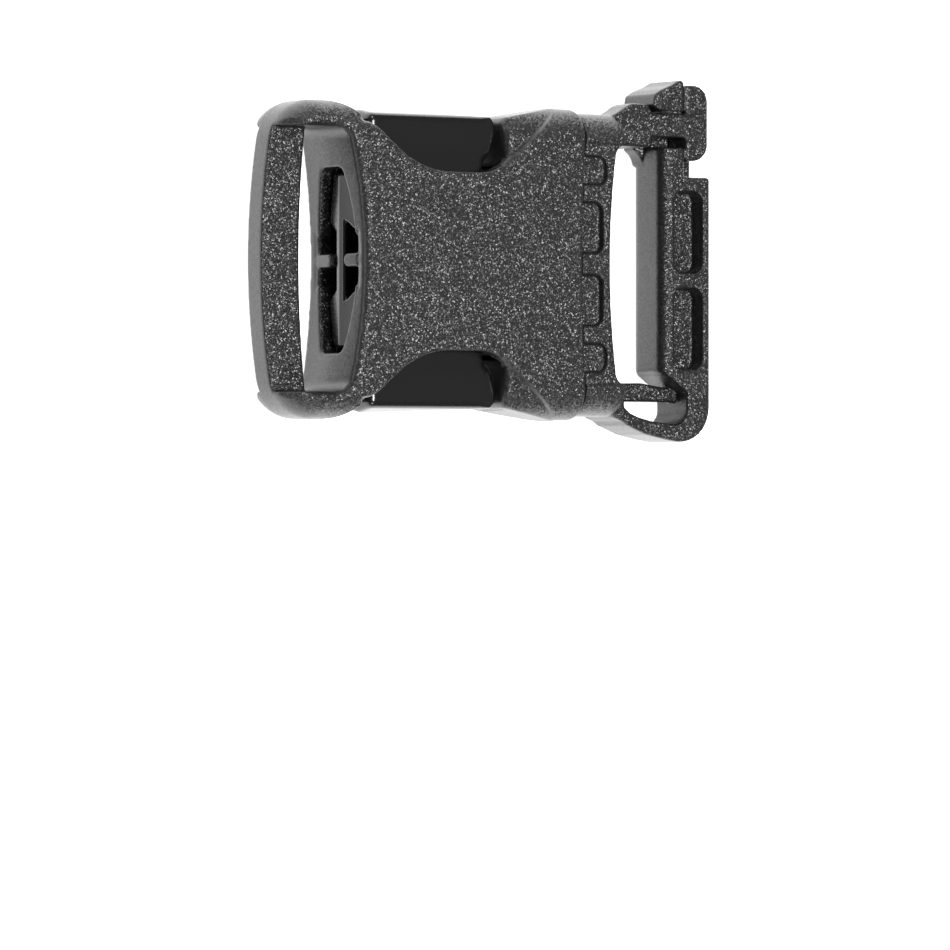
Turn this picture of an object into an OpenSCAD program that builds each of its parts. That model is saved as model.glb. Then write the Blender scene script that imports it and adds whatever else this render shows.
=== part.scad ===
// Side release buckle for 25 mm webbing, fastened, with a snap-open web bar on the plug.
// X runs along the webbing, Y across it, Z up. The buckle lies on the flat strip of its back.
// Two mouldings: the socket, a crowned shell with a web bar, and the plug inside it.

/* [Socket body] */
// Width over the frame's two arms
socket_w = 34.5; // [34:0.1:36]
// Thickness of both mouldings at the middle of the crowned faces
body_t = 12; // [11.6:0.1:13]
// Length of the crowned body on the centreline, from the web slot to the mouth
body_len = 28.25; // [27.5:0.05:31]
// Radius of the crown across the faces
crown_r = 200; // [150:5:300]
// Width of the flat strip along the middle of each face
face_flat_w = 5.6; // [3:0.1:8]
// Radius that rolls the faces over into the sides
side_round_r = 4.3; // [3.8:0.1:4.6]
// Thickness of the shell's two faces at the middle
shell_t = 2.2; // [1.8:0.1:2.4]
// Radius of the hollow bow of the mouth, seen from above
mouth_bow_r = 130; // [110:5:200]

/* [Socket web bar and slot] */
// Width of the web bar along X, at the middle
bar_w = 4.9; // [4.6:0.1:5.2]
// Thickness of the web bar
bar_t = 3; // [2.6:0.1:3.4]
// Web slot's length along X, at the middle
slot_len = 5.7; // [5.5:0.1:7.5]
// Web slot's clear width across
slot_w = 28.5; // [27.8:0.1:28.8]
// Radius of the slot's two corners at the end wall
slot_corner_r = 1.9; // [1.6:0.1:2.8]
// Radius of the frame's outward bow
end_bow_r = 82; // [70:1:120]
// Radius of the web bar's hollow inner edge
bar_inner_r = 130; // [110:10:400]
// Radius of the end wall's bow
wall_bow_r = 65; // [55:1:90]
// How far the end wall stands proud at its middle plane
wall_draft = 0.1; // [0:0.05:0.4]
// Radius of the frame's outer corners
frame_corner_r = 5.2; // [4.8:0.1:5.6]
// Distance from the frame's end back to the arms' noses, at the web bar's faces
nose_back = 1.25; // [1:0.05:1.6]
// How far the noses fall back over each millimetre of height
nose_slope = 0.68; // [0.5:0.02:0.8]

/* [End window] */
// Thickness of the end wall on the centreline
end_wall_t = 1.9; // [1.5:0.05:2.2]
// Width of the lens-shaped window across
window_w = 20.1; // [19:0.1:20.6]
// Height of the window at its middle
window_h = 7.5; // [7:0.1:7.6]
// Radius of the window's long edges
window_arc_r = 30; // [26:1:34]
// Radius of the window's corners
window_corner_r = 1.1; // [0.6:0.1:1.4]
// Width of the taller middle of the window
window_mid_w = 5.4; // [5:0.1:6.5]
// Extra height of the window's middle, above and below
window_mid_rise = 0.2; // [0.1:0.05:0.25]
// Width of the two guide tabs
tab_w = 1.5; // [1.2:0.1:1.8]
// Clear height between the tips of the two guide tabs
tab_gap = 2.5; // [2.2:0.1:3]

/* [Side windows] */
// Width left between the two thumb scoops
waist_w = 19.45; // [19:0.05:20]
// Radius of the arm's shoulder
shoulder_r = 4.55; // [4.45:0.1:5.05]
// How far the shoulder arc's centre lies before the end wall
shoulder_back = 3.25; // [3:0.05:3.5]
// Slope of the scoop's edge on the slot side, in degrees
scoop_in_angle = 40.4; // [38:0.2:43]
// Radius of the scoop's slot side
scoop_in_r = 10.5; // [9:0.5:12]
// Radius of the scoop's mouth side
scoop_out_r = 5.2; // [4.5:0.1:6]
// Length of the scoop's level bottom
scoop_flat = 3.75; // [3:0.25:5]
// Slope of the scoop's edge on the mouth side, in degrees
scoop_out_angle = 37.1; // [35:0.1:39]
// Distance from the end wall to the catch face of each side window
catch_x = 18.85; // [18.5:0.05:19.1]

/* [Wings] */
// Width over the wings at their widest
wing_w = 34.7; // [34:0.1:35]
// Width over the wings at the catch face
wing_start_w = 31.4; // [31.2:0.1:32.4]
// Width that the wings would narrow to just past the mouth
wing_mouth_w = 33.8; // [33.2:0.1:34.4]
// Distance from the mouth back to the widest point
wing_peak_back = 1.1; // [0.8:0.1:2.4]
// How far the wings' outer faces lie below the crowned face
wing_step = 0.6; // [0.4:0.05:0.8]
// Thickness of the bulkhead that the prongs catch on
bulkhead_t = 1.8; // [1.4:0.1:2.4]
// Thickness of the wings' side walls
wing_wall_t = 1.5; // [1.3:0.1:1.8]

/* [Plug base] */
// Width over the plug's two arms
plug_w = 33.6; // [33.2:0.1:34]
// Length of the plug's base on the centreline
base_len = 3.95; // [3.7:0.05:4.2]
// Gap between the socket's mouth and the plug's base
mouth_gap = 0.15; // [0.1:0.05:0.25]
// Radius of the base's edge at the web slot
base_bow_r = 70; // [60:1:100]
// How far the base's middle lies below the arms
base_step = 0.35; // [0.2:0.05:0.5]
// Distance from the centreline to each arm's inner edge
arm_inner_y = 13.3; // [13.2:0.05:13.5]
// How far the full thickness of the arms runs past the mouth
arm_len = 6.3; // [6:0.1:6.6]
// Radius of the web slot's corners at the base
base_corner_r = 1.5; // [1.2:0.1:1.6]
// Radius of the step at the ends of the arms
arm_end_r = 1.6; // [1.2:0.1:2]
// Depth of the base's pockets
pocket_depth = 0.9; // [0.7:0.1:1.3]
// Width of the rim between a pocket and the web slot
pocket_rim = 1.1; // [0.9:0.05:1.3]
// Radius of the pockets' corners
pocket_corner_r = 1; // [0.6:0.1:1.2]
// Distance from the centreline to the inner pockets
pocket_in_y = 1.2; // [1:0.1:1.5]
// Width of the inner pockets across
pocket_in_w = 5.6; // [5:0.1:5.8]
// Rib between an inner and an outer pocket
pocket_rib = 2; // [1.8:0.1:2.3]
// Width of the outer pockets across
pocket_out_w = 3.1; // [2.8:0.1:3.2]

/* [Prongs] */
// Thickness of the prongs and their buttons
prong_t = 6.4; // [6:0.1:6.8]
// Width over the two buttons at their widest
button_w = 33; // [32.6:0.1:33.2]
// How much each button's side falls towards the mouth
button_fall = 0.5; // [0.3:0.05:0.7]
// How much each button's side leans in from its middle to either face
button_lean = 0.6; // [0.4:0.05:0.8]
// Gap between a button and the catch face
catch_gap = 0.3; // [0.2:0.05:0.4]
// Gap between a button's corner and the end wall
button_end_gap = 1.95; // [1.5:0.05:2.2]
// Radius of the button's corner at the end wall
button_corner_r = 1; // [0.8:0.1:1.4]
// How far the button's bowed catch end falls back at the stem
catch_back = 1.85; // [1.5:0.05:2.1]
// Distance from the centreline to a prong's inner side
prong_in_y = 8; // [7.8:0.1:8.1]
// Width of each prong's stem
stem_w = 2.2; // [2:0.1:2.3]
// Clearance between a stem and the bulkhead beside it
stem_gap = 0.3; // [0.25:0.05:0.4]
// Length of the root block inside the mouth
root_len = 5.5; // [5:0.1:6]
// Clearance between the root block and the cavity's faces
root_gap = 0.35; // [0.25:0.05:0.45]

/* [Centre guide] */
// Gap between the guide's lens-shaped head and the end window
guide_gap = 0.65; // [0.6:0.05:0.85]
// Length of the guide's head
guide_head_len = 1.5; // [1.3:0.1:1.7]
// Thickness of the guide's middle strip
guide_strip_t = 1.7; // [1.5:0.1:2]
// How far the head's long edges slope back from the ridge along its middle
guide_slope = 0.6; // [0.4:0.1:0.8]
// Distance from the end wall's face to the guide's strip
guide_set_back = 0.4; // [0.3:0.05:0.6]
// How far the head stands before the strip
guide_head_lead = 0.2; // [0.1:0.05:0.25]
// Half width of the gap in the head on the back, at the strip
guide_gap_y = 3; // [2.7:0.1:3.3]
// Half width of the gap in the head on the back, at its edge
guide_gap_edge_y = 4.45; // [4.2:0.05:4.7]
// Half width of the gap in the head on the front, at the strip
guide_vee_y = 4.3; // [4:0.1:4.6]
// Half width of the gap in the head on the front, at its edge
guide_vee_top_y = 2.7; // [2.4:0.1:3.2]
// Width of each guide rail
rail_w = 1.5; // [1.2:0.1:1.8]
// Distance from the centreline to a guide rail's outer side
rail_y = 6.8; // [6.5:0.1:6.9]

/* [Gate] */
// Web slot's length along X on the plug, at the middle
gate_slot_len = 8.8; // [8.6:0.05:10]
// Width of the gate bar along X
gate_w = 6.5; // [6.3:0.05:6.8]
// Thickness of the gate bar, the latch and the loop
gate_t = 6.2; // [6:0.1:6.4]
// Radius of the gate's edges that the webbing bears on
gate_edge_r = 1.35; // [1.1:0.05:1.5]
// Distance from the centreline to the gate's shoulder
shoulder_y = 10.1; // [9.9:0.05:10.3]
// Distance from the centreline to the end of the gate's lower tine
gate_end_y = 13.35; // [13.2:0.05:13.5]
// Depth of the gate's pockets
gate_pocket_depth = 2.2; // [1.8:0.1:2.5]
// Width of the gate's pockets along X
gate_pocket_w = 3.8; // [3.5:0.05:4]
// Rim between the gate's pockets and its outer side
gate_rim = 1; // [0.8:0.05:1.2]
// Radius of the gate pockets' corners
gate_pocket_r = 1.1; // [0.7:0.1:1.4]
// Rib between the gate's two pockets
gate_rib = 1.8; // [1.6:0.1:2.2]
// Distance from the shoulder to the first pocket
gate_pocket_start = 1.7; // [1.5:0.1:2]
// Length of each gate pocket across the buckle
gate_pocket_len = 9; // [8.6:0.1:9.1]

/* [Latch] */
// Distance from the centreline to the pad's outer side
pad_outer_y = 18.1; // [17.9:0.05:18.2]
// Distance along X from the pad's end to the gate's slot side
pad_back = 1.4; // [1.3:0.05:1.5]
// Width of the tee's neck across
neck_w = 2.65; // [2.5:0.05:2.75]
// Gap between the gate's lower tine and the neck
neck_gap = 1.1; // [1:0.05:1.15]
// Length of the lower tine along X
tine_len = 3; // [2.9:0.05:3.1]
// Length of the tee's head along X
tee_len = 3.05; // [2.85:0.05:3.1]
// Width of the tee's head across
tee_w = 8.5; // [8.3:0.1:8.7]
// How far the tee's head lies off its neck's middle
tee_shift = 0.35; // [0.2:0.05:0.45]
// Radius of the tee's outer corners
tee_corner_r = 1.9; // [1.4:0.1:2.2]
// Thickness of the gate's ledge behind the tee
ledge_t = 2.4; // [2.2:0.05:2.5]
// Radius of the ledge's inner corner at the web slot
ledge_corner_r = 2; // [1.6:0.1:2.4]
// Running gap between the gate and the latch
latch_gap = 0.2; // [0.15:0.05:0.3]
// Distance from the centreline to the top of the hook
hook_y = 20.95; // [20.8:0.05:21.1]

/* [Loop] */
// Distance from the centreline to the loop's outer edge
loop_y = 19.6; // [19.5:0.05:19.8]
// Width of the loop along its outer run
loop_w = 2; // [1.85:0.05:2.1]
// Width of the loop's turn beside the gate
turn_w = 3.1; // [2.9:0.05:3.3]
// Radius of the loop's outer corner
loop_corner_r = 3.95; // [3.7:0.05:4.1]
// Radius of the loop's inner corner
loop_inner_r = 1.6; // [1.3:0.1:1.8]
// Distance from the centreline to the gate's heel on the slot side
heel_y = 11.6; // [11.2:0.1:12]
// Distance from the centreline to the gate's heel beside the loop
heel_end_y = 14; // [13.8:0.05:14.1]
// Width of the strut across
strut_w = 2.1; // [1.9:0.05:2.2]
// Thickness of the strut
strut_t = 1.6; // [1.4:0.1:2]
// Distance from the centreline to the strut's outer edge
strut_y = 15.1; // [15:0.05:15.2]
// How far the strut's inner edge falls towards the loop
strut_fall = 0.85; // [0.6:0.05:0.9]

/* [Hidden] */
$fn = 96;
// Distance that a cut runs past the solid that it cuts
past = 1;
// A length greater than the part's
big = 80;
// Lift of the side arcs over the crown and of the shoulders over the sides, for clear edges
side_lift = 0.03;

// Stations along X from the web bar's outer face, before the part is centred
half_t = body_t / 2;
bar_in_x = bar_w;
wall_x = bar_in_x + slot_len;
mouth_x = wall_x + body_len;
base_x = mouth_x + base_len;
gate_x = base_x + gate_slot_len;
end_x = gate_x + gate_w;
catch_face_x = wall_x + catch_x;
arm_end_x = mouth_x + arm_len;
wing_peak_x = mouth_x - wing_peak_back;
bulkhead_x = catch_face_x + bulkhead_t;

// Crowned section
half_w = socket_w / 2;
crown_top = half_t + pow(face_flat_w / 2, 2) / (2 * crown_r);
cavity_h = half_t - shell_t;

// Frame corner, which touches the bowed end from inside
corner_y = half_w - frame_corner_r;
corner_angle = asin(corner_y / (end_bow_r - frame_corner_r));
corner_x = end_bow_r - (end_bow_r - frame_corner_r) * cos(corner_angle);
corner_touch = [end_bow_r - end_bow_r * cos(corner_angle), end_bow_r * sin(corner_angle)];

// Where the noses' slope meets the height that the cuts run to
nose_top = half_t + past;
nose_top_x = nose_back + nose_slope * (nose_top - bar_t / 2);

// Thumb scoop, on the +Y side
shoulder_c = [wall_x - shoulder_back, half_w - shoulder_r + side_lift];
shoulder_p = shoulder_c + shoulder_r * [sin(scoop_in_angle), cos(scoop_in_angle)];
scoop_y = waist_w / 2;
scoop_in_c_y = scoop_y + scoop_in_r;
scoop_in_p_y = scoop_in_c_y - scoop_in_r * cos(scoop_in_angle);
scoop_in_p_x = shoulder_p.x + (shoulder_p.y - scoop_in_p_y) / tan(scoop_in_angle);
scoop_in_c = [scoop_in_p_x + scoop_in_r * sin(scoop_in_angle), scoop_in_c_y];
scoop_out_c = [scoop_in_c.x + scoop_flat, scoop_y + scoop_out_r];
scoop_out_p = scoop_out_c + scoop_out_r * [sin(scoop_out_angle), -cos(scoop_out_angle)];
scoop_top_y = half_w + past;
scoop_out_end = [scoop_out_p.x + (scoop_top_y - scoop_out_p.y) / tan(scoop_out_angle), scoop_top_y];

// Prongs and guide
prong_h = prong_t / 2;
button_y = button_w / 2;
button_x = wall_x + button_end_gap;
stem_y = prong_in_y + stem_w;
bulkhead_y = stem_y + stem_gap;
catch_end_x = catch_face_x - catch_gap;
root_x = mouth_x - root_len;
root_y = stem_y + 1.2;
guide_x = wall_x + guide_set_back;
guide_head_x = guide_x - guide_head_lead;
guide_end_x = guide_head_x + guide_head_len;
wing_cavity_y = wing_mouth_w / 2 - wing_wall_t - 0.5;
wing_cavity_r = 2.6;

// Base, gate and latch
base_top = half_t - base_step;
// where the round of the arms' ends would start, over the crown
arm_end_lift = 0.3;
gate_h = gate_t / 2;
gate_pocket_step = gate_pocket_len + gate_rib;
gate_pocket_top = shoulder_y - gate_pocket_start + gate_rib;
ledge_top = ledge_t - gate_h;
tee_back = ledge_top + latch_gap;
pad_x = gate_x - pad_back;
tine_x = gate_x + tine_len;
tee_x = tine_x + latch_gap;
neck_y0 = gate_end_y + neck_gap;
neck_y1 = neck_y0 + neck_w;
tee_y = (neck_y0 + neck_y1) / 2 + tee_shift;
// how far the latch and the loop run into the arms, and the pad's rise over its arm
arm_sink = 3;
pad_rise = 1.9;
hook_x = pad_x + latch_gap;
hook_in_y = neck_y1 + latch_gap;
ledge_corner_y = gate_end_y - 0.1;

// Loop
turn_x = end_x - turn_w;
loop_in_y = loop_y - loop_w;
strut_mid_y = strut_y - strut_w / 2;
loop_c = [end_x - loop_corner_r, loop_corner_r - loop_y];
loop_in_c = [turn_x - loop_inner_r, loop_inner_r - loop_in_y];

// Rectangle with round corners, centred
module round_rect(size, r) {
    square([size.x - 2 * r, size.y], center = true);
    square([size.x, size.y - 2 * r], center = true);
    for (sx = [-1, 1])
        for (sy = [-1, 1])
            translate([sx * (size.x / 2 - r), sy * (size.y / 2 - r)])
                circle(r = r);
}

// Rectangle from one corner to the other, with round corners
module round_box(low, high, r) {
    translate((low + high) / 2)
        round_rect(high - low, r);
}

// Copies a shape to the other side of the centreline
module both_sides() {
    children();
    mirror([0, 1, 0])
        children();
}

// Copies a shape to the other face
module both_faces() {
    children();
    mirror([0, 0, 1])
        children();
}

// Section drawn with Y along its first axis and Z along its second, run along X
module along_x(from_x, to_x) {
    translate([from_x, 0, 0])
        rotate([90, 0, 90])
            linear_extrude(height = to_x - from_x)
                children();
}

// Section drawn with X along its first axis and Z along its second, run along Y
module along_y() {
    translate([0, big / 2, 0])
        rotate([90, 0, 0])
            linear_extrude(height = big)
                children();
}

// A shape drawn in plan, run from one height to another
module slab(z0, z1) {
    translate([0, 0, z0])
        linear_extrude(height = z1 - z0)
            children();
}

// A shape drawn in plan, run through the whole thickness
module tall() {
    slab(-half_t - past, half_t + past)
        children();
}

// Section of the crowned body across the buckle
module skin_section(width = socket_w) {
    r = side_round_r;
    // where a side arc would touch the crown from inside, and then a little higher
    crown_c = crown_top - crown_r;
    c_z = crown_c + sqrt(pow(crown_r - r, 2) - pow(width / 2 - r, 2)) + side_lift;
    intersection() {
        translate([0, crown_c])
            circle(r = crown_r, $fn = 360);
        translate([0, -crown_c])
            circle(r = crown_r, $fn = 360);
        square([big, body_t], center = true);
        union() {
            square([width, 2 * c_z], center = true);
            square([width - 2 * r, 2 * body_t], center = true);
            for (sy = [-1, 1])
                for (sz = [-1, 1])
                    translate([sy * (width / 2 - r), sz * c_z])
                        circle(r = r);
        }
    }
}

// The crowned section run along X
module skin(from_x, to_x, width = socket_w) {
    along_x(from_x, to_x)
        skin_section(width);
}

// Everything beyond the mouth, seen from above
module mouth_side(gap = 0) {
    translate([mouth_x + mouth_bow_r, 0])
        circle(r = mouth_bow_r - gap, $fn = 360);
}

// Web slot whose bowed end passes through an apex on the centreline, with round corners there
module bow_slot(apex, bow_r, half, r, reach) {
    bow_x = apex - bow_r;
    c = [bow_x + sqrt(pow(bow_r - r, 2) - pow(half - r, 2)), half - r];
    out = (c - [bow_x, 0]) / (bow_r - r);
    difference() {
        intersection() {
            translate([bow_x, 0])
                circle(r = bow_r, $fn = 360);
            translate([apex - reach, -half])
                square([reach + past, 2 * half]);
        }
        both_sides()
            difference() {
                polygon([c, c + [0, 2 * r], c + [2 * r, 2 * r], c + 2 * r * out]);
                translate(c)
                    circle(r = r);
            }
    }
}

// What a thumb scoop takes off the +Y side, seen from above
module scoop_plan() {
    top = scoop_in_c.y;
    difference() {
        polygon([
            [shoulder_c.x, half_w - 0.5], shoulder_p,
            [shoulder_p.x, top], [shoulder_c.x, top]
        ]);
        translate(shoulder_c)
            circle(r = shoulder_r);
    }
    polygon([shoulder_p, [scoop_in_p_x, scoop_in_p_y], scoop_in_c, [shoulder_p.x, top]]);
    translate(scoop_in_c)
        circle(r = scoop_in_r);
    translate([scoop_in_c.x, scoop_y])
        square([scoop_flat, top - scoop_y]);
    translate(scoop_out_c)
        circle(r = scoop_out_r);
    polygon([scoop_out_c, scoop_out_p, scoop_out_end, [scoop_out_end.x, top], [scoop_out_c.x, top]]);
}

// Plan of one wing, on the +Y side
module wing_plan() {
    start_y = wing_start_w / 2;
    polygon([
        [catch_face_x, scoop_y],
        [catch_face_x, start_y - 1.45],
        [catch_face_x - 0.35, start_y - 0.9],
        [catch_face_x - 0.95, start_y - 0.65],
        [catch_face_x - 1.1, start_y - 0.3],
        [catch_face_x - 0.95, start_y],
        [wing_peak_x, wing_w / 2],
        [mouth_x + 1.2, wing_mouth_w / 2],
        [mouth_x + 1.2, scoop_y]
    ]);
}

// Full-thickness body of the socket, before it is hollowed
module socket_body() {
    difference() {
        union() {
            difference() {
                skin(corner_x, mouth_x + 2);
                tall()
                    both_sides()
                        scoop_plan();
                tall()
                    both_sides()
                        translate([wing_peak_x, wing_w / 2 - 0.1])
                            square([body_len, half_w]);
            }
            intersection() {
                tall()
                    both_sides()
                        wing_plan();
                translate([0, 0, -wing_step])
                    skin(catch_face_x - 2, mouth_x + 2, wing_w);
                translate([0, 0, wing_step])
                    skin(catch_face_x - 2, mouth_x + 2, wing_w);
            }
        }
        tall()
            mouth_side();
    }
}

// Round outer corners of the frame
module frame_corners() {
    both_sides()
        translate([corner_x, corner_y, 0])
            rotate_extrude()
                intersection() {
                    translate([-corner_y, 0])
                        skin_section();
                    translate([0, -body_t])
                        square([frame_corner_r + past, 2 * body_t]);
                }
}

// Web bar, with its bowed outer face
module web_bar() {
    slab(-bar_t / 2, bar_t / 2)
        intersection() {
            translate([end_bow_r, 0])
                circle(r = end_bow_r, $fn = 360);
            polygon([
                [-past, corner_touch.y], corner_touch, [corner_x, corner_y],
                [corner_x, -corner_y], [corner_touch.x, -corner_touch.y], [-past, -corner_touch.y]
            ]);
        }
}

// Ring-shaped space before the end wall, whose face stands proud at the parting line
module wall_face() {
    translate([wall_x - wall_bow_r, 0, 0])
        rotate_extrude($fn = 360)
            polygon([
                [0, -half_t - past], [wall_bow_r, -half_t - past], [wall_bow_r, -half_t],
                [wall_bow_r - wall_draft, 0],
                [wall_bow_r, half_t], [wall_bow_r, half_t + past], [0, half_t + past]
            ]);
}

// What lies on the bar's side of its hollow inner edge, seen from above
module bar_plan() {
    difference() {
        translate([-past, -slot_w])
            square([bar_in_x + slot_len / 2 + past, 2 * slot_w]);
        translate([bar_in_x + bar_inner_r, 0])
            circle(r = bar_inner_r, $fn = 360);
    }
}

// Everything inside the web slot, and the space over and under the web bar and its ends
module web_slot() {
    difference() {
        intersection() {
            tall()
                bow_slot(wall_x, wall_bow_r, slot_w / 2, slot_corner_r, wall_x + past);
            wall_face();
        }
        slab(-bar_t / 2, bar_t / 2)
            bar_plan();
    }
    both_faces()
        along_y()
            polygon([
                [-past, bar_t / 2], [nose_back, bar_t / 2],
                [nose_top_x, nose_top], [-past, nose_top]
            ]);
}

// Space inside the shell for the plug
module cavity() {
    wall_back_r = wall_bow_r + end_wall_t;
    slab(-cavity_h, cavity_h)
        difference() {
            translate([wall_x - 4, -half_w - past])
                square([catch_x + 4, socket_w + 2 * past]);
            translate([wall_x - wall_bow_r, 0])
                circle(r = wall_back_r, $fn = 360);
        }
    along_x(catch_face_x - past, bulkhead_x + past)
        square([2 * bulkhead_y, 2 * cavity_h], center = true);
    along_x(bulkhead_x, mouth_x + 3)
        round_rect([2 * wing_cavity_y, 2 * cavity_h], wing_cavity_r);
}

// Lens outline across the buckle, with round corners
module lens(width, height) {
    r = window_corner_r;
    low = height / 2 - window_arc_r;
    c = [width / 2 - r, low + sqrt(pow(window_arc_r - r, 2) - pow(width / 2 - r, 2))];
    out = (c - [0, low]) / (window_arc_r - r);
    difference() {
        intersection() {
            translate([0, low])
                circle(r = window_arc_r, $fn = 180);
            translate([0, -low])
                circle(r = window_arc_r, $fn = 180);
            square([width, height], center = true);
        }
        for (sy = [0, 1])
            for (sz = [0, 1])
                mirror([sy, 0])
                    mirror([0, sz])
                        difference() {
                            polygon([c, c + [2 * r, 0], c + [2 * r, 2 * r], c + 2 * r * out]);
                            translate(c)
                                circle(r = r);
                        }
    }
}

// Window through the end wall, with its two guide tabs left standing
module end_window() {
    along_x(wall_x - 2, wall_x + end_wall_t + 1.5)
        difference() {
            union() {
                lens(window_w, window_h);
                square([window_mid_w, window_h + 2 * window_mid_rise], center = true);
            }
            for (s = [-1, 1])
                translate([0, s * (tab_gap + tab_w) / 2]) {
                    circle(r = tab_w / 2);
                    translate([0, s * window_h / 2])
                        square([tab_w, window_h], center = true);
                }
        }
}

module socket_solid() {
    difference() {
        union() {
            difference() {
                union() {
                    socket_body();
                    frame_corners();
                }
                web_slot();
            }
            difference() {
                web_bar();
                web_slot();
            }
        }
        cavity();
        end_window();
    }
}

// Prong stem and button on the +Y side, seen from above
module prong_plan() {
    corner = [button_x + button_corner_r, button_y - button_corner_r];
    fall_y = button_y - button_fall;
    translate(corner)
        circle(r = button_corner_r);
    polygon([
        [button_x, corner.y], corner, [corner.x, button_y],
        [catch_end_x - 0.55, fall_y], [catch_end_x - 0.2, fall_y - 0.6], [catch_end_x, fall_y - 1.7],
        [catch_end_x - 0.22 * catch_back, stem_y + 2.5], [catch_end_x - 0.8 * catch_back, stem_y + 0.6],
        [catch_end_x - catch_back, stem_y], [root_x + past, stem_y], [root_x + past, prong_in_y],
        [button_x + 1.6, prong_in_y], [button_x + 0.4, stem_y]
    ]);
}

// Both prongs, whose outer sides lean in towards the faces
module prongs() {
    top = prong_h + past;
    top_y = button_y - button_lean * top / prong_h;
    intersection() {
        both_sides()
            slab(-prong_h, prong_h)
                prong_plan();
        along_x(wall_x, mouth_x)
            polygon([
                [-button_y, 0], [-top_y, -top], [top_y, -top],
                [button_y, 0], [top_y, top], [-top_y, top]
            ]);
    }
}

// Head of the guide, which fills the end window but for the two tabs
module guide_head() {
    h = window_h / 2 - guide_gap;
    half_strip = guide_strip_t / 2;
    difference() {
        intersection() {
            along_x(guide_head_x, guide_end_x)
                lens(window_w - 2 * guide_gap, 2 * h);
            along_y()
                polygon([
                    [guide_head_x, 0], [guide_head_x + guide_slope, -h], [guide_end_x + past, -h],
                    [guide_end_x + past, h], [guide_head_x + guide_slope, h]
                ]);
        }
        along_x(guide_head_x - past, guide_end_x + past) {
            polygon([
                [-guide_gap_y, -half_strip], [guide_gap_y, -half_strip],
                [guide_gap_edge_y, -h], [guide_gap_edge_y, -h - past],
                [-guide_gap_edge_y, -h - past], [-guide_gap_edge_y, -h]
            ]);
            polygon([
                [-guide_vee_y, half_strip], [guide_vee_y, half_strip],
                [guide_vee_top_y, h], [guide_vee_top_y, h + past],
                [-guide_vee_top_y, h + past], [-guide_vee_top_y, h]
            ]);
        }
    }
}

// Strip and rails that carry the guide's head
module guide() {
    rail_h = window_h / 2 - pow(rail_y, 2) / (2 * window_arc_r) - guide_gap + 0.2;
    guide_head();
    slab(-guide_strip_t / 2, guide_strip_t / 2)
        translate([guide_x, -rail_y])
            square([root_x + past - guide_x, 2 * rail_y]);
    both_sides()
        slab(-rail_h, rail_h)
            translate([guide_end_x - 0.6, rail_y - rail_w])
                square([root_x + past - guide_end_x + 0.6, rail_w]);
}

// A pocket in one face of the plug's base, on the +Y side
module base_pocket(from_y, width) {
    mid = from_y + width / 2;
    far_x = base_x + pow(mid, 2) / (2 * base_bow_r) - pocket_rim;
    slab(base_top - pocket_depth, half_t + past)
        round_box([mouth_x - 2, from_y], [far_x, from_y + width], pocket_corner_r);
}

// Base that closes the mouth, with the two arms of the web slot
module base() {
    difference() {
        union() {
            intersection() {
                tall()
                    translate([mouth_x, -arm_inner_y - 0.2])
                        square([arm_len, 2 * arm_inner_y + 0.4]);
                translate([0, 0, -base_step])
                    skin(mouth_x - past, arm_end_x, plug_w);
                translate([0, 0, base_step])
                    skin(mouth_x - past, arm_end_x, plug_w);
            }
            intersection() {
                skin(mouth_x - past, arm_end_x, plug_w);
                along_y()
                    round_box(
                        [wall_x, -half_t - arm_end_lift],
                        [arm_end_x, half_t + arm_end_lift], arm_end_r);
                tall()
                    both_sides()
                        translate([mouth_x - past, arm_inner_y])
                            square([arm_len + past, half_w]);
            }
        }
        tall()
            difference() {
                translate([root_x, -half_w - past])
                    square([root_len + base_len, socket_w + 2 * past]);
                mouth_side(mouth_gap);
            }
        tall()
            translate([2 * base_x, 0])
                mirror([1, 0])
                    bow_slot(base_x, base_bow_r, arm_inner_y, base_corner_r, 12);
        both_faces()
            both_sides() {
                base_pocket(pocket_in_y, pocket_in_w);
                base_pocket(pocket_in_y + pocket_in_w + pocket_rib, pocket_out_w);
            }
    }
    intersection() {
        along_x(root_x, mouth_x + 3)
            square([2 * root_y, 2 * (cavity_h - root_gap)], center = true);
        tall()
            difference() {
                square([2 * (mouth_x + 2), socket_w], center = true);
                translate([mouth_x + 1.5 + mouth_bow_r, 0])
                    circle(r = mouth_bow_r, $fn = 360);
            }
    }
}

// Gate bar with its lower tine
module gate_bar() {
    difference() {
        intersection() {
            slab(-gate_h, gate_h)
                polygon([
                    [gate_x, gate_end_y], [tine_x, gate_end_y], [tine_x, shoulder_y], [end_x, shoulder_y],
                    [end_x, -heel_end_y - past], [turn_x, -heel_end_y - past],
                    [turn_x, -heel_end_y], [gate_x, -heel_y]
                ]);
            along_y()
                round_box([gate_x, -gate_h], [end_x + 4, gate_h], gate_edge_r);
        }
        both_faces()
            for (i = [1, 2])
                slab(gate_h - gate_pocket_depth, gate_h + past)
                    translate([0, gate_pocket_top - i * gate_pocket_step])
                        round_box(
                            [end_x - gate_rim - gate_pocket_w, 0],
                            [end_x - gate_rim, gate_pocket_len], gate_pocket_r);
    }
}

// Plan of the hook at the gate's end
module hook_plan() {
    polygon([
        [hook_x, hook_in_y + 0.6], [hook_x + 0.2, hook_y - 1.75], [hook_x + 1.2, hook_y - 1.15],
        [hook_x + 2.5, hook_y - 0.65], [hook_x + 3.5, hook_y - 0.1], [hook_x + 3.9, hook_y],
        [tine_x, hook_y - 0.35], [tine_x, hook_in_y], [hook_x + 0.9, hook_in_y + 0.15]
    ]);
}

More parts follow.
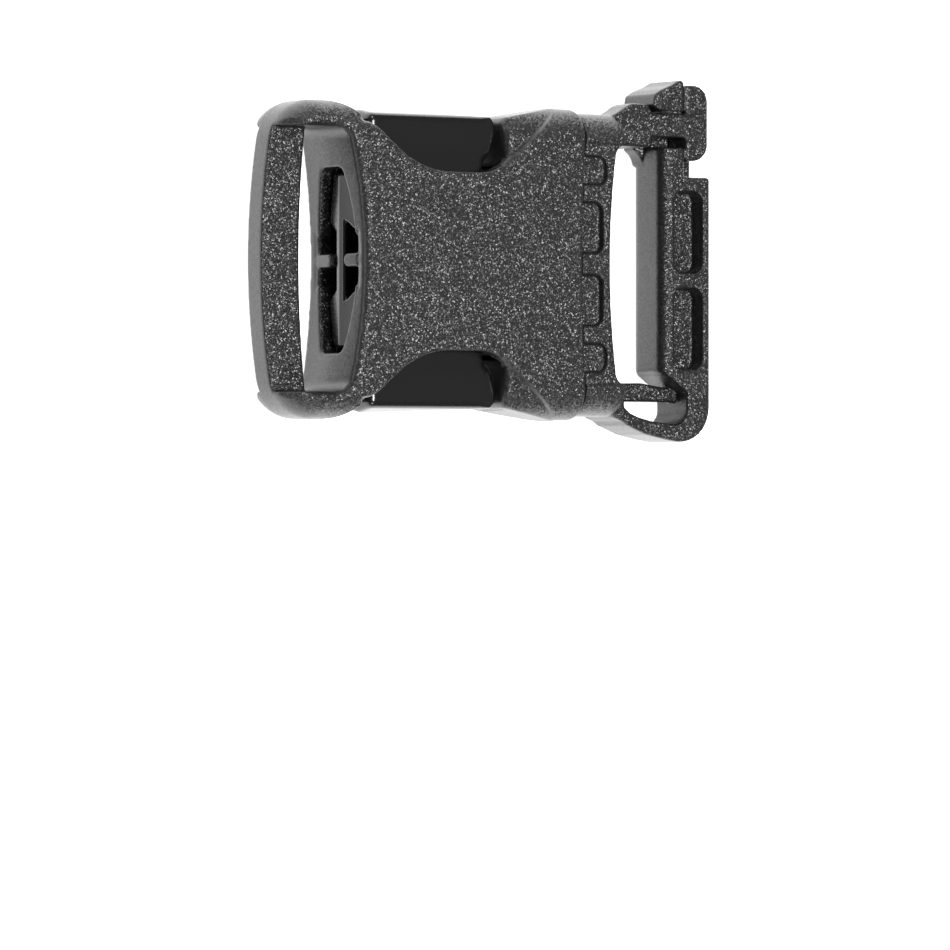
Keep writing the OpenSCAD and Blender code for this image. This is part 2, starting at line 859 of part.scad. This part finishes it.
// Ledge behind the tee, which joins the hook to the gate bar
module ledge_plan() {
    difference() {
        polygon([
            [hook_x, gate_end_y - 2], [hook_x, hook_in_y + 0.6], [hook_x + 0.2, hook_y - 1.75],
            [hook_x + 1.2, hook_y - 1.15], [hook_x + 2.5, hook_y - 0.65], [hook_x + 3.5, hook_y - 0.1],
            [hook_x + 3.9, hook_y], [end_x - 1.7, hook_y - 0.85], [end_x - 0.5, hook_y - 2],
            [end_x, hook_y - 3.4], [end_x, shoulder_y - past], [gate_x + 1.4, shoulder_y - past],
            [gate_x + 1.4, gate_end_y - 2]
        ]);
        translate([gate_x - ledge_corner_r, ledge_corner_y - ledge_corner_r])
            circle(r = ledge_corner_r);
        translate([gate_x - 4, shoulder_y - 2])
            square([4, ledge_corner_y - ledge_corner_r - shoulder_y + 2]);
    }
}

// Latch arm: a pad, a neck and a tee's head that the fork of the gate drops round
module latch() {
    slab(-gate_h, gate_h)
        translate([arm_end_x - arm_sink, arm_inner_y])
            square([pad_x - arm_end_x + arm_sink, pad_outer_y - pad_rise - arm_inner_y]);
    slab(tee_back, gate_h)
        polygon([
            [arm_end_x - arm_sink, arm_inner_y], [pad_x, arm_inner_y], [pad_x, pad_outer_y - 0.7],
            [pad_x - 0.65, pad_outer_y - 0.1], [pad_x - 1.75, pad_outer_y],
            [arm_end_x + 2.4, pad_outer_y], [arm_end_x + 1.7, pad_outer_y - 0.3],
            [arm_end_x + 1.1, pad_outer_y - 0.7], [arm_end_x - 0.15, pad_outer_y - 1.4],
            [arm_end_x - 0.5, pad_outer_y - pad_rise], [arm_end_x - arm_sink, pad_outer_y - pad_rise]
        ]);
    slab(tee_back, gate_h) {
        translate([pad_x - past, neck_y0])
            square([tee_x - pad_x + 2 * past, neck_w]);
        intersection() {
            round_box(
                [tee_x - tee_len, tee_y - tee_w / 2],
                [tee_x + tee_len, tee_y + tee_w / 2], tee_corner_r);
            translate([tee_x, tee_y - tee_w])
                square([2 * tee_len, 2 * tee_w]);
        }
    }
}

// Loop that carries the gate, and the thin strut inside it
module loop() {
    slab(-gate_h, gate_h)
        difference() {
            union() {
                translate(loop_c)
                    circle(r = loop_corner_r);
                polygon([
                    [arm_end_x - arm_sink, -arm_inner_y], [arm_end_x - arm_sink, 3.4 - loop_y],
                    [arm_end_x - 0.5, 3.3 - loop_y], [arm_end_x, 2.7 - loop_y],
                    [arm_end_x + 1.05, 2.3 - loop_y], [arm_end_x + 1.8, 1.8 - loop_y],
                    [arm_end_x + 4.4, 0.8 - loop_y], [arm_end_x + 7.1, 0.25 - loop_y],
                    [loop_c.x, -loop_y], loop_c,
                    [end_x, loop_c.y], [end_x, -heel_end_y], [turn_x, -heel_end_y],
                    [turn_x - past, -arm_inner_y]
                ]);
            }
            translate(loop_in_c)
                circle(r = loop_inner_r);
            polygon([
                [arm_end_x, -arm_inner_y + past], [arm_end_x, -strut_mid_y],
                [arm_end_x + 1.35, -strut_mid_y], [arm_end_x + 1.35, 1.9 - loop_in_y],
                [arm_end_x + 2.1, 1.25 - loop_in_y], [arm_end_x + 3.4, 0.75 - loop_in_y],
                [arm_end_x + 5, 0.35 - loop_in_y], [loop_in_c.x, -loop_in_y], loop_in_c,
                [turn_x, loop_in_c.y], [turn_x, -heel_end_y], [turn_x, -arm_inner_y + past]
            ]);
        }
    slab(-strut_t / 2, strut_t / 2)
        polygon([
            [arm_end_x - past, strut_w - strut_y], [arm_end_x + 5.3, strut_w - strut_y],
            [arm_end_x + 7.2, strut_w - strut_y - strut_fall / 3],
            [turn_x + past, strut_w - strut_y - strut_fall], [turn_x + past, -strut_y],
            [arm_end_x - past, -strut_y]
        ]);
}

module plug_solid() {
    prongs();
    guide();
    base();
    gate_bar();
    slab(-gate_h, ledge_top)
        ledge_plan();
    slab(-gate_h, gate_h)
        hook_plan();
    latch();
    loop();
}

// Sets the part on its back face, with mid-length at the origin
module place() {
    translate([-end_x / 2, 0, half_t])
        children();
}

module socket() {
    color("dimgray")
        place()
            socket_solid();
}

module plug() {
    color("darkslategray")
        place()
            plug_solid();
}

socket();
plug();
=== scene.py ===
import math

import bpy
import numpy as np
import openvdb
from mathutils import Matrix, Vector


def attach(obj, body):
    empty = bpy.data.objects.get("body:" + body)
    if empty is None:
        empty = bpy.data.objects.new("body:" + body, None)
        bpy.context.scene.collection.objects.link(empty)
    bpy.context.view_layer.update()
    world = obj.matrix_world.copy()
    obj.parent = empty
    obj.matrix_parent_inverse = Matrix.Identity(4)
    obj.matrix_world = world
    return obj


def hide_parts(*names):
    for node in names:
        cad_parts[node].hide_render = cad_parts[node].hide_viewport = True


# Millimetres in one of Blender's units
MM = 1000.0

# Grid for the moulded edges, in millimetres, with its band in grid steps
VOXEL = 0.1
BAND = 9.5

# Radii of the moulded edges and of their inner corners, in millimetres
EDGE_R = 0.22
ROLLED_EDGE_R = 0.8
CORNER_R = 0.05

# Stretches over which rolled edges begin or end, in millimetres: round the web slot,
# on the wings' catch ends and on the buttons
SLOT_FROM_X = (-25.5, -23.5)
SLOT_TO_X = (-17.5, -16.4)
SLOT_TO_Y = (15.0, 15.8)
SLOT_FROM_HEIGHT = (3.9, 4.5)
WING_FROM_X = (-0.9, -0.6)
WING_TO_X = (1.5, 2.1)
WING_FROM_Y = (9.9, 10.9)
BUTTON_TO_X = (-1.6, -0.8)
BUTTON_FROM_Y = (10.6, 11.4)
MID_HEIGHT = 6.0

# Where the prongs' piece ends, in millimetres along X
JOIN_X = 6.0

# Most faces of one piece's mesh
FACES = 90000

# Steepness of a face, as its normal's height, where the grain is weakest and strongest
GRAIN_FROM = 0.35
GRAIN_TO = 0.9

# Camera of the photo: a pinhole above the socket's side, in metres and millimetres of lens
TILT = math.radians(33.5)
DISTANCE = 0.690
AIM = Vector((-0.00015, 0.0, 0.006))
SIDE_STEP = 0.00033
DOWN_STEP = 0.023265
LENS = 237.7
SENSOR = 36.0

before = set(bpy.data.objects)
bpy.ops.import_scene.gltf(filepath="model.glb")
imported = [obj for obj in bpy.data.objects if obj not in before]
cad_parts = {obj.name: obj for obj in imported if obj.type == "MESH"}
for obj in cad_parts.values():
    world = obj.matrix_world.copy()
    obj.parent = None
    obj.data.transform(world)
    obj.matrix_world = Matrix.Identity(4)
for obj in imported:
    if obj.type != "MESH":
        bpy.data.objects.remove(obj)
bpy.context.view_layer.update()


def triangles_of(obj):
    """Vertices in millimetres and triangles of a CAD node."""
    mesh = obj.data
    mesh.calc_loop_triangles()
    points = np.empty(len(mesh.vertices) * 3, np.float32)
    mesh.vertices.foreach_get("co", points)
    triangles = np.empty(len(mesh.loop_triangles) * 3, np.int32)
    mesh.loop_triangles.foreach_get("vertices", triangles)
    world = np.array(obj.matrix_world)
    points = points.reshape(-1, 3) @ world[:3, :3].T + world[:3, 3]
    return (points * MM).astype(np.float32), triangles.reshape(-1, 3).astype(np.uint32)


def grid_of(points, **faces):
    """Signed distance grid of a closed mesh."""
    lattice = openvdb.createLinearTransform(voxelSize=VOXEL)
    return openvdb.FloatGrid.createLevelSetFromPolygons(
        points, transform=lattice, halfWidth=BAND, **faces
    )


def node_grid(name):
    """Signed distance grid of a CAD node."""
    points, triangles = triangles_of(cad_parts[name])
    return grid_of(points, triangles=triangles)


def grown(grid, by):
    """The same body with its surface moved outwards."""
    points, quads = grid.convertToQuads(isovalue=by)
    return grid_of(points, quads=quads)


def rounded(grid, edge):
    """Rolls a ball round the body, inside first and then outside."""
    grid = grown(grid, -edge)
    grid = grown(grid, edge + CORNER_R)
    return grown(grid, -CORNER_R)


def field_of(grid, low, shape):
    """Distances of a grid in a block of it."""
    field = np.empty(shape, np.float32)
    grid.copyToArray(field, ijk=low)
    return field


def block_of(*grids):
    """Lowest corner and shape of the block that holds the grids."""
    boxes = [grid.evalActiveVoxelBoundingBox() for grid in grids]
    low = tuple(min(box[0][i] for box in boxes) for i in range(3))
    high = tuple(max(box[1][i] for box in boxes) for i in range(3))
    return low, tuple(end - start + 1 for start, end in zip(low, high))


def grid_from(field, low):
    """A grid made of a block of distances."""
    edge = np.float32(BAND * VOXEL)
    made = openvdb.FloatGrid(float(edge))
    made.transform = openvdb.createLinearTransform(voxelSize=VOXEL)
    made.copyFromArray(np.clip(field, -edge, edge), ijk=low)
    made.gridClass = openvdb.GridClass.LEVEL_SET
    return made


def places(low, shape):
    """X, Y and Z in millimetres along a block, shaped to spread over it."""
    steps = [(np.arange(n) + start) * VOXEL for n, start in zip(shape, low)]
    return np.ix_(*[step.astype(np.float32) for step in steps])


def ramp(at, start, end):
    """Rises from 0 at one place to 1 at another."""
    return np.clip((at - start) / (end - start), 0.0, 1.0)


def mixed(sharp, rolled, share_at):
    """The sharp body, and the rolled one where the share is 1."""
    low, shape = block_of(sharp, rolled)
    share = share_at(*places(low, shape))
    field = field_of(sharp, low, shape) * (1.0 - share)
    return grid_from(field + field_of(rolled, low, shape) * share, low)


def socket_share(x, y, z):
    """1 at the web slot's edges and on the wings' ends, and 0 away from them."""
    before = ramp(x, *SLOT_FROM_X) * (1.0 - ramp(x, *SLOT_TO_X))
    beside = 1.0 - ramp(np.abs(y), *SLOT_TO_Y)
    round_slot = before * beside * ramp(np.abs(z - MID_HEIGHT), *SLOT_FROM_HEIGHT)
    on_wing = ramp(x, *WING_FROM_X) * (1.0 - ramp(x, *WING_TO_X)) * ramp(np.abs(y), *WING_FROM_Y)
    return np.maximum(round_slot, on_wing)


def button_share(x, y, _z):
    """1 on the buttons but for their catch ends, and 0 away from them, at any height."""
    return (1.0 - ramp(x, *BUTTON_TO_X)) * ramp(np.abs(y), *BUTTON_FROM_Y)


def cut(grid, at_x, keep_low):
    """The part of a body on one side of a station, closed there."""
    low, shape = block_of(grid)
    side = places(low, shape)[0] - at_x
    return grid_from(np.maximum(field_of(grid, low, shape), side if keep_low else -side), low)


def body_from(grid, name):
    """A smooth mesh object of the grid's surface, in metres."""
    points, quads = grid.convertToQuads(isovalue=0.0)
    mesh = bpy.data.meshes.new(name)
    mesh.vertices.add(len(points))
    mesh.vertices.foreach_set("co", (points / MM).astype(np.float32).ravel())
    mesh.loops.add(len(quads) * 4)
    mesh.loops.foreach_set("vertex_index", quads[:, ::-1].astype(np.int32).ravel())
    mesh.polygons.add(len(quads))
    mesh.polygons.foreach_set("loop_start", np.arange(len(quads), dtype=np.int32) * 4)
    mesh.update(calc_edges=True)
    mesh.validate()
    mesh.polygons.foreach_set("use_smooth", np.ones(len(mesh.polygons), bool))
    body = bpy.data.objects.new(name, mesh)
    bpy.context.scene.collection.objects.link(body)
    if len(quads) > FACES:
        thin = body.modifiers.new("thin", "DECIMATE")
        thin.ratio = FACES / len(quads)
    return body


def black_plastic(name, grain_mm, tones, roughness, tilts):
    """Black plastic whose grains lean this way and that: tilts on side walls and on flat faces."""
    material = bpy.data.materials.new(name)
    material.use_nodes = True
    nodes, links = material.node_tree.nodes, material.node_tree.links
    plastic = nodes["Principled BSDF"]
    plastic.inputs["Roughness"].default_value = roughness

    place = nodes.new("ShaderNodeTexCoord")
    cells = nodes.new("ShaderNodeTexVoronoi")
    cells.inputs["Scale"].default_value = MM / grain_mm
    links.new(place.outputs["Object"], cells.inputs["Vector"])

    split = nodes.new("ShaderNodeSeparateColor")
    links.new(cells.outputs["Color"], split.inputs["Color"])
    tone = nodes.new("ShaderNodeMix")
    tone.data_type = "RGBA"
    tone.inputs["A"].default_value = (tones[0], tones[0], tones[0], 1.0)
    tone.inputs["B"].default_value = (tones[1], tones[1], tones[1], 1.0)
    links.new(split.outputs["Red"], tone.inputs["Factor"])
    links.new(tone.outputs["Result"], plastic.inputs["Base Color"])

    # flat faces keep the grain, and side walls lose most of it
    normal = nodes.new("ShaderNodeNewGeometry")
    axes = nodes.new("ShaderNodeSeparateXYZ")
    links.new(normal.outputs["Normal"], axes.inputs["Vector"])
    upright = nodes.new("ShaderNodeMath")
    upright.operation = "ABSOLUTE"
    links.new(axes.outputs["Z"], upright.inputs[0])
    strength = nodes.new("ShaderNodeMapRange")
    strength.inputs["From Min"].default_value = GRAIN_FROM
    strength.inputs["From Max"].default_value = GRAIN_TO
    strength.inputs["To Min"].default_value = tilts[0]
    strength.inputs["To Max"].default_value = tilts[1]
    links.new(upright.outputs["Value"], strength.inputs["Value"])

    centred = nodes.new("ShaderNodeVectorMath")
    centred.operation = "SUBTRACT"
    centred.inputs[1].default_value = (0.5, 0.5, 0.5)
    links.new(cells.outputs["Color"], centred.inputs[0])
    leaning = nodes.new("ShaderNodeVectorMath")
    leaning.operation = "SCALE"
    links.new(centred.outputs["Vector"], leaning.inputs[0])
    links.new(strength.outputs["Result"], leaning.inputs["Scale"])
    summed = nodes.new("ShaderNodeVectorMath")
    links.new(normal.outputs["Normal"], summed.inputs[0])
    links.new(leaning.outputs["Vector"], summed.inputs[1])
    unit = nodes.new("ShaderNodeVectorMath")
    unit.operation = "NORMALIZE"
    links.new(summed.outputs["Vector"], unit.inputs[0])
    links.new(unit.outputs["Vector"], plastic.inputs["Normal"])
    return material


textured = black_plastic("textured black", 0.12, (0.006, 0.014), 0.34, (0.12, 0.75))
satin = black_plastic("satin black", 0.2, (0.004, 0.006), 0.22, (0.02, 0.03))

socket = node_grid("socket")
plug = node_grid("plug")
shell = mixed(rounded(socket, EDGE_R), rounded(socket, ROLLED_EDGE_R), socket_share)
sharp_plug = rounded(plug, EDGE_R)
gate = cut(sharp_plug, JOIN_X, keep_low=False)
prongs = cut(mixed(sharp_plug, rounded(plug, ROLLED_EDGE_R), button_share), JOIN_X, keep_low=True)

for grid, name, node, material, slot in (
    (shell, "socket_shell", "socket", textured, "black_acetal"),
    (gate, "plug_base_and_gate", "plug", textured, "black_acetal"),
    (prongs, "plug_prongs_and_guide", "plug", satin, "black_acetal_smooth"),
):
    piece = body_from(grid, name)
    piece.data.materials.append(material)
    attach(piece, "root")
    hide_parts(node)

# Floor, a sheet of white paper on a light table
bpy.ops.mesh.primitive_plane_add(size=4.0)
floor = bpy.context.object
floor.name = "floor"
paper = bpy.data.materials.new("paper")
paper.use_nodes = True
sheet = paper.node_tree.nodes["Principled BSDF"]
sheet.inputs["Base Color"].default_value = (0.93, 0.93, 0.93, 1.0)
sheet.inputs["Roughness"].default_value = 0.9
sheet.inputs["Specular IOR Level"].default_value = 0.1
sheet.inputs["Emission Color"].default_value = (1.0, 1.0, 1.0, 1.0)
sheet.inputs["Emission Strength"].default_value = 1.0
floor.data.materials.append(paper)

# Light
world = bpy.data.worlds.new("studio")
bpy.context.scene.world = world
world.use_nodes = True
sky = world.node_tree.nodes["Background"]
sky.inputs["Color"].default_value = (1.0, 1.0, 1.0, 1.0)
sky.inputs["Strength"].default_value = 0.2


def panel(name, place, size, watts):
    """A soft box that faces the buckle."""
    lamp = bpy.data.lights.new(name, "AREA")
    lamp.shape = "RECTANGLE"
    lamp.size, lamp.size_y = size
    lamp.energy = watts
    holder = bpy.data.objects.new(name, lamp)
    holder.location = place
    holder.rotation_mode = "QUATERNION"
    holder.rotation_quaternion = (-Vector(place)).to_track_quat("-Z", "Y")
    bpy.context.scene.collection.objects.link(holder)


panel("overhead", (0.0, 0.0, 0.75), (0.18, 0.18), 7.0)
panel("upper side", (-0.12, 0.55, 0.5), (0.25, 0.25), 2.0)
panel("lower side", (-0.12, -0.55, 0.5), (0.25, 0.25), 2.0)

# Camera
right = Vector((math.cos(TILT), 0.0, math.sin(TILT)))
up = Vector((0.0, 1.0, 0.0))
back = Vector((-math.sin(TILT), 0.0, math.cos(TILT)))
lens = bpy.data.cameras.new("camera")
lens.lens = LENS
lens.sensor_width = SENSOR
lens.clip_start, lens.clip_end = 0.05, 5.0
camera = bpy.data.objects.new("camera", lens)
bpy.context.scene.collection.objects.link(camera)
stand = AIM - SIDE_STEP * right - DOWN_STEP * up + DISTANCE * back
camera.matrix_world = Matrix.Translation(stand) @ Matrix((right, up, back)).transposed().to_4x4()
bpy.context.scene.camera = camera
bpy.context.scene.view_settings.view_transform = "Standard"
